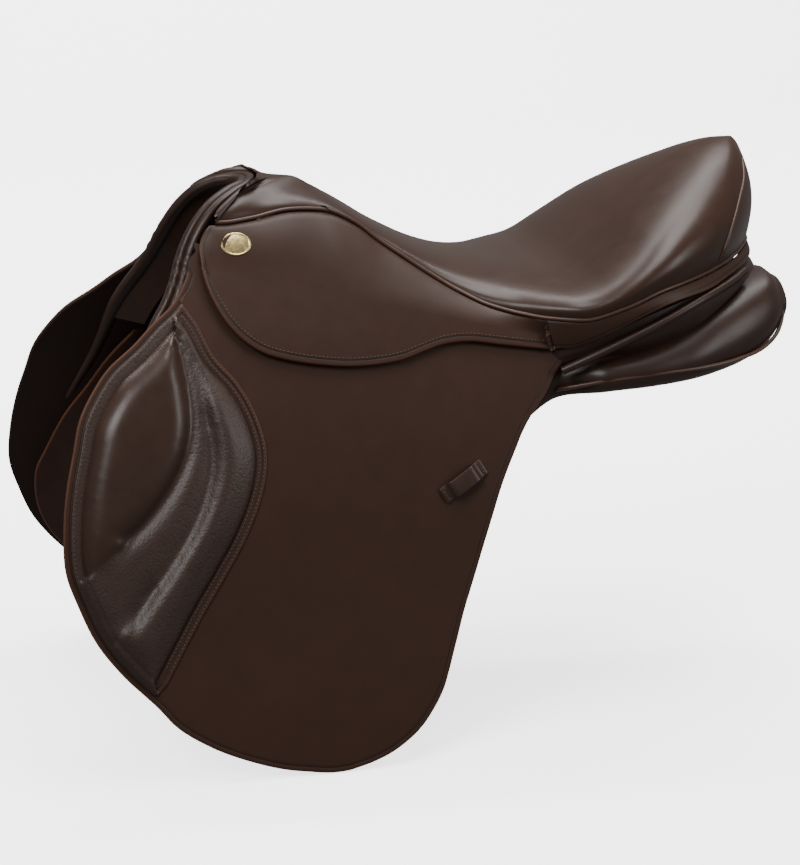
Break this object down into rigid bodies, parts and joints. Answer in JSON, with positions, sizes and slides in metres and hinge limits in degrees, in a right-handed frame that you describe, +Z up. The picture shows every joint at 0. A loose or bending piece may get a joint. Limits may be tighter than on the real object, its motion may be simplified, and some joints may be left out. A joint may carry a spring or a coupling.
{
  "type": "english riding saddle",
  "caption": "English general purpose saddle: sprung tree, padded seat, lifting skirts and forward-cut flaps, knee rolls, girth straps, stirrup bars and panels.",
  "frame": {"origin": "on the centre plane, 97 mm below the lowest point of the seat, in the channel between the panels", "axes": "+X forward to the pommel, +Y to the horse's left, +Z up"},
  "size_m": [0.5997, 0.382, 0.4422],
  "materials": {
    "tree_wood": "laminated beech, lacquered",
    "tree_steel": "mild steel strip",
    "bar_steel": "forged steel, bright",
    "dee_steel": "polished stainless",
    "nail_brass": "polished brass",
    "webbing": "woven linen web",
    "foam": "soft foam sheet",
    "seat_leather": "smooth calf, satin, dark havana brown",
    "grained_leather": "pebble-grained calf, soft sheen",
    "panel_leather": "soft panel hide, satin",
    "strap_leather": "stout bridle leather, waxed",
    "welt_leather": "rolled edge leather",
    "flap_leather": "smooth vegetable tanned hide, satin"
  },
  "bodies": {
    "saddle": {"flap_top_left": "flap_leather", "flap_top_right": "flap_leather", "seat_leather": "seat_leather", "seat_foam": "foam", "seat_welt_left": "welt_leather", "seat_welt_right": "welt_leather", "skirt_upper_left": "flap_leather", "skirt_upper_right": "flap_leather", "saddle_nail_left": "nail_brass", "saddle_nail_right": "nail_brass", "stirrup_bar_left": "bar_steel", "stirrup_bar_right": "bar_steel", "tree_head": "tree_wood", "head_plate": "tree_steel", "gullet_plate": "tree_steel", "tree_point_left": "tree_wood", "tree_point_right": "tree_wood", "tree_rail_left": "tree_wood", "tree_rail_right": "tree_wood", "tree_spring_left": "tree_steel", "tree_spring_right": "tree_steel", "tree_cantle": "tree_wood", "straining_web_left": "webbing", "straining_web_right": "webbing", "girth_web_rear": "webbing", "girth_web_front": "webbing", "waist_web": "webbing", "panel_left": "panel_leather", "panel_right": "panel_leather", "sweat_flap_left": "panel_leather", "sweat_flap_right": "panel_leather", "knee_block_left": "panel_leather", "knee_block_right": "panel_leather", "thigh_block_left": "panel_leather", "thigh_block_right": "panel_leather", "point_pocket_left": "flap_leather", "point_pocket_right": "flap_leather", "front_facing": "flap_leather", "dee_chape_left": "flap_leather", "dee_chape_right": "flap_leather"},
    "flap_left": {"flap_left": "flap_leather", "knee_roll_left": "grained_leather", "strap_keeper_left": "flap_leather"},
    "skirt_left": {"skirt_left": "flap_leather"},
    "catch_left": {"bar_catch_left": "bar_steel"},
    "dee_left": {"dee_ring_left": "dee_steel"},
    "strap_front_left": {"girth_strap_front_left": "strap_leather"},
    "strap_middle_left": {"girth_strap_middle_left": "strap_leather"},
    "strap_rear_left": {"girth_strap_rear_left": "strap_leather"},
    "guard_left": {"buckle_guard_left": "strap_leather"},
    "flap_right": {"flap_right": "flap_leather", "knee_roll_right": "grained_leather", "strap_keeper_right": "flap_leather"},
    "skirt_right": {"skirt_right": "flap_leather"},
    "catch_right": {"bar_catch_right": "bar_steel"},
    "dee_right": {"dee_ring_right": "dee_steel"},
    "strap_front_right": {"girth_strap_front_right": "strap_leather"},
    "strap_middle_right": {"girth_strap_middle_right": "strap_leather"},
    "strap_rear_right": {"girth_strap_rear_right": "strap_leather"},
    "guard_right": {"buckle_guard_right": "strap_leather"}
  },
  "joints": [
    {"name": "flap_lift_left", "type": "hinge", "parent": "saddle", "child": "flap_left", "pos_m": [0.105, 0.09032, 0.08683], "axis": [0.965, -0.1284, 0.2286], "range_deg": [0, 70]},
    {"name": "skirt_lift_left", "type": "hinge", "parent": "flap_left", "child": "skirt_left", "pos_m": [0.105, 0.09032, 0.08683], "axis": [0.965, -0.1284, 0.2286], "range_deg": [0, 37]},
    {"name": "catch_turn_left", "type": "hinge", "parent": "saddle", "child": "catch_left", "pos_m": [0.14666, 0.08806, 0.07161], "axis": [0.0048, 0.8685, 0.4956], "range_deg": [0, 55]},
    {"name": "dee_swing_left", "type": "hinge", "parent": "saddle", "child": "dee_left", "pos_m": [0.196, 0.04485, 0.10635], "axis": [0, 1, 0], "range_deg": [-30, 30]},
    {"name": "strap_sway_front_left", "type": "hinge", "parent": "saddle", "child": "strap_front_left", "pos_m": [0.152, 0.08977, 0.04908], "axis": [0, 0.9634, 0.268], "range_deg": [-3, 3]},
    {"name": "strap_sway_middle_left", "type": "hinge", "parent": "saddle", "child": "strap_middle_left", "pos_m": [0.122, 0.08977, 0.04908], "axis": [0, 0.9634, 0.268], "range_deg": [-3, 3]},
    {"name": "strap_sway_rear_left", "type": "hinge", "parent": "saddle", "child": "strap_rear_left", "pos_m": [0.092, 0.08977, 0.04908], "axis": [0, 0.9634, 0.268], "range_deg": [-3, 3]},
    {"name": "guard_slide_left", "type": "slide", "parent": "strap_middle_left", "child": "guard_left", "axis": [0, 0.275, -0.9615], "range_m": [0, 0.018]},
    {"name": "flap_lift_right", "type": "hinge", "parent": "saddle", "child": "flap_right", "pos_m": [0.105, -0.09032, 0.08683], "axis": [-0.965, -0.1284, -0.2286], "range_deg": [0, 70]},
    {"name": "skirt_lift_right", "type": "hinge", "parent": "flap_right", "child": "skirt_right", "pos_m": [0.105, -0.09032, 0.08683], "axis": [-0.965, -0.1284, -0.2286], "range_deg": [0, 37]},
    {"name": "catch_turn_right", "type": "hinge", "parent": "saddle", "child": "catch_right", "pos_m": [0.14666, -0.08806, 0.07161], "axis": [-0.0048, 0.8685, -0.4956], "range_deg": [0, 55]},
    {"name": "dee_swing_right", "type": "hinge", "parent": "saddle", "child": "dee_right", "pos_m": [0.196, -0.04485, 0.10635], "axis": [0, 1, 0], "range_deg": [-30, 30]},
    {"name": "strap_sway_front_right", "type": "hinge", "parent": "saddle", "child": "strap_front_right", "pos_m": [0.152, -0.08977, 0.04908], "axis": [0, 0.9634, -0.268], "range_deg": [-3, 3]},
    {"name": "strap_sway_middle_right", "type": "hinge", "parent": "saddle", "child": "strap_middle_right", "pos_m": [0.122, -0.08977, 0.04908], "axis": [0, 0.9634, -0.268], "range_deg": [-3, 3]},
    {"name": "strap_sway_rear_right", "type": "hinge", "parent": "saddle", "child": "strap_rear_right", "pos_m": [0.092, -0.08977, 0.04908], "axis": [0, 0.9634, -0.268], "range_deg": [-3, 3]},
    {"name": "guard_slide_right", "type": "slide", "parent": "strap_middle_right", "child": "guard_right", "axis": [0, -0.275, -0.9615], "range_m": [0, 0.018]}
  ],
  "couplings": [
    {"joint": "strap_sway_front_left", "follows": "strap_sway_middle_left", "ratio": 1},
    {"joint": "strap_sway_rear_left", "follows": "strap_sway_middle_left", "ratio": 1},
    {"joint": "strap_sway_front_right", "follows": "strap_sway_middle_right", "ratio": 1},
    {"joint": "strap_sway_rear_right", "follows": "strap_sway_middle_right", "ratio": 1}
  ]
}
